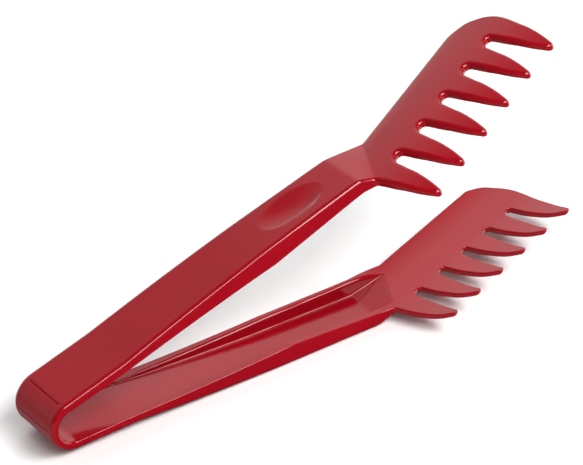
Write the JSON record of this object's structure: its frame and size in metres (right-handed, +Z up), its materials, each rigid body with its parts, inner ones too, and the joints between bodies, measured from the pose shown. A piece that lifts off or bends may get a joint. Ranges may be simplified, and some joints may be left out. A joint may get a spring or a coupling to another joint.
{
  "type": "comb-headed squeeze tongs",
  "caption": "One-piece moulded plastic squeeze tongs: springy bow, two channel arms and mirrored comb heads with curved tines.",
  "frame": {"origin": "centre of the bounding box's base: the floor plane under the lower arm's flat stretch", "axes": "+X from the bow to the comb tips along the lower arm, +Y towards the combs' smooth spines, +Z up, the lower arm underneath"},
  "size_m": [0.3002, 0.0818, 0.1125],
  "materials": {
    "bow_red": "moulded, glossy",
    "arm_red": "moulded, satin outer face, glossy edges",
    "comb_red": "moulded, satin"
  },
  "bodies": {
    "lower_jaw": {"lower_bow_end": "bow_red", "lower_spring_leg": "bow_red", "lower_arm_web": "arm_red", "lower_arm_near_flange": "arm_red", "lower_arm_far_flange": "arm_red", "lower_neck": "comb_red", "lower_comb_plate": "comb_red", "lower_tine_1": "comb_red", "lower_tine_2": "comb_red", "lower_tine_3": "comb_red", "lower_tine_4": "comb_red", "lower_tine_5": "comb_red", "lower_tine_6": "comb_red"},
    "crown": {"bow_crown": "bow_red"},
    "upper_jaw": {"upper_bow_end": "bow_red", "upper_spring_leg": "bow_red", "upper_arm_web": "arm_red", "upper_arm_near_flange": "arm_red", "upper_arm_far_flange": "arm_red", "upper_neck": "comb_red", "upper_comb_plate": "comb_red", "upper_tine_1": "comb_red", "upper_tine_2": "comb_red", "upper_tine_3": "comb_red", "upper_tine_4": "comb_red", "upper_tine_5": "comb_red", "upper_tine_6": "comb_red"}
  },
  "joints": [
    {"name": "lower_bow_flex", "type": "hinge", "parent": "lower_jaw", "child": "crown", "pos_m": [-0.14355, 0.00054, 0.00879], "axis": [0, 1, 0], "range_deg": [0, 8.8], "stiffness_Nm_per_rad": 4},
    {"name": "upper_bow_flex", "type": "hinge", "parent": "crown", "child": "upper_jaw", "pos_m": [-0.14508, 0.00054, 0.01819], "axis": [0, 1, 0], "range_deg": [0, 8.8], "stiffness_Nm_per_rad": 4}
  ],
  "couplings": [
    {"joint": "upper_bow_flex", "follows": "lower_bow_flex", "ratio": 1}
  ]
}
